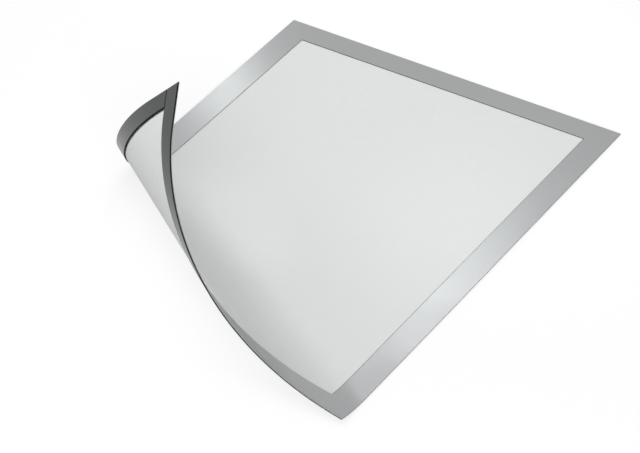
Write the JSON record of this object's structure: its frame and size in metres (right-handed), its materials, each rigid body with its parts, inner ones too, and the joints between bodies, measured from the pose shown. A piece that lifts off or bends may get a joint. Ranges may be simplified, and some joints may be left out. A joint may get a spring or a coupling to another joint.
{
  "type": "magnetic document frame",
  "caption": "Flat flexible frame with a clear window, a silver border and magnetic strips behind it, one corner peeled up; holds a sheet of paper on steel.",
  "frame": {"origin": "Centre of the frame's outline, on the surface that the magnetic strips' backs lie on", "axes": "+X along the short side and +Y along the long side of the frame, +Z out of the window's front; the peeled corner is at low X and low Y"},
  "size_m": [0.2366, 0.3228, 0.1117],
  "materials": {
    "magnetic_rubber": "matt dark grey ferrite-filled rubber",
    "adhesive_tape": "thin translucent adhesive film",
    "white_paper": "smooth uncoated white paper",
    "clear_film": "clear film with a soft gloss",
    "silver_foil": "satin silver plastic foil"
  },
  "bodies": {
    "frame": {"adhesive_tape_left": "adhesive_tape", "adhesive_tape_right": "adhesive_tape", "adhesive_tape_top": "adhesive_tape", "border_foil": "silver_foil", "insert_sheet": "white_paper", "magnetic_strip_left": "magnetic_rubber", "magnetic_strip_right": "magnetic_rubber", "magnetic_strip_top": "magnetic_rubber", "window_film": "clear_film"},
    "flap_1": {"adhesive_tape_bottom_1": "adhesive_tape", "adhesive_tape_left_1": "adhesive_tape", "adhesive_tape_right_1": "adhesive_tape", "border_foil_bottom_1": "silver_foil", "border_foil_left_1": "silver_foil", "insert_sheet_1": "white_paper", "magnetic_strip_bottom_1": "magnetic_rubber", "magnetic_strip_left_1": "magnetic_rubber", "magnetic_strip_right_1": "magnetic_rubber", "window_film_1": "clear_film"},
    "flap_2": {"adhesive_tape_bottom_2": "adhesive_tape", "adhesive_tape_left_2": "adhesive_tape", "border_foil_bottom_2": "silver_foil", "border_foil_left_2": "silver_foil", "insert_sheet_2": "white_paper", "magnetic_strip_bottom_2": "magnetic_rubber", "magnetic_strip_left_2": "magnetic_rubber", "window_film_2": "clear_film"},
    "flap_3": {"adhesive_tape_bottom_3": "adhesive_tape", "adhesive_tape_left_3": "adhesive_tape", "border_foil_bottom_3": "silver_foil", "border_foil_left_3": "silver_foil", "insert_sheet_3": "white_paper", "magnetic_strip_bottom_3": "magnetic_rubber", "magnetic_strip_left_3": "magnetic_rubber", "window_film_3": "clear_film"},
    "flap_4": {"adhesive_tape_bottom_4": "adhesive_tape", "adhesive_tape_left_4": "adhesive_tape", "border_foil_bottom_4": "silver_foil", "border_foil_left_4": "silver_foil", "insert_sheet_4": "white_paper", "magnetic_strip_bottom_4": "magnetic_rubber", "magnetic_strip_left_4": "magnetic_rubber", "window_film_4": "clear_film"},
    "flap_5": {"adhesive_tape_bottom_5": "adhesive_tape", "adhesive_tape_left_5": "adhesive_tape", "border_foil_bottom_5": "silver_foil", "border_foil_left_5": "silver_foil", "insert_sheet_5": "white_paper", "magnetic_strip_bottom_5": "magnetic_rubber", "magnetic_strip_left_5": "magnetic_rubber", "window_film_5": "clear_film"},
    "flap_6": {"adhesive_tape_bottom_6": "adhesive_tape", "adhesive_tape_left_6": "adhesive_tape", "border_foil_6": "silver_foil", "insert_sheet_6": "white_paper", "magnetic_strip_bottom_6": "magnetic_rubber", "magnetic_strip_left_6": "magnetic_rubber", "window_film_6": "clear_film"}
  },
  "joints": [
    {"name": "corner_peel", "type": "hinge", "parent": "frame", "child": "flap_1", "pos_m": [-0.118, -0.0021, 0.00106], "axis": [-0.8428, 0.5382, 0], "range_deg": [-24.4, 11.31]},
    {"name": "corner_flex_2", "type": "hinge", "parent": "flap_1", "child": "flap_2", "pos_m": [-0.11724, -0.01979, 0.00764], "axis": [-0.8166, 0.5769, -0.0212], "range_deg": [-22.84, 10.58]},
    {"name": "corner_flex_3", "type": "hinge", "parent": "flap_2", "child": "flap_3", "pos_m": [-0.11429, -0.03563, 0.02003], "axis": [-0.7947, 0.6041, -0.0588], "range_deg": [-21.28, 9.86]},
    {"name": "corner_flex_4", "type": "hinge", "parent": "flap_3", "child": "flap_4", "pos_m": [-0.10799, -0.0484, 0.03686], "axis": [-0.78, 0.6166, -0.1064], "range_deg": [-19.72, 9.14]},
    {"name": "corner_flex_5", "type": "hinge", "parent": "flap_4", "child": "flap_5", "pos_m": [-0.09744, -0.05753, 0.05656], "axis": [-0.7736, 0.6138, -0.1572], "range_deg": [-18.16, 8.42]},
    {"name": "corner_flex_6", "type": "hinge", "parent": "flap_5", "child": "flap_6", "pos_m": [-0.08196, -0.06302, 0.07761], "axis": [-0.7754, 0.597, -0.2057], "range_deg": [-16.6, 7.69]}
  ],
  "couplings": [
    {"joint": "corner_flex_2", "follows": "corner_peel", "ratio": 0.93607},
    {"joint": "corner_flex_3", "follows": "corner_peel", "ratio": 0.87213},
    {"joint": "corner_flex_4", "follows": "corner_peel", "ratio": 0.8082},
    {"joint": "corner_flex_5", "follows": "corner_peel", "ratio": 0.74426},
    {"joint": "corner_flex_6", "follows": "corner_peel", "ratio": 0.68033}
  ]
}
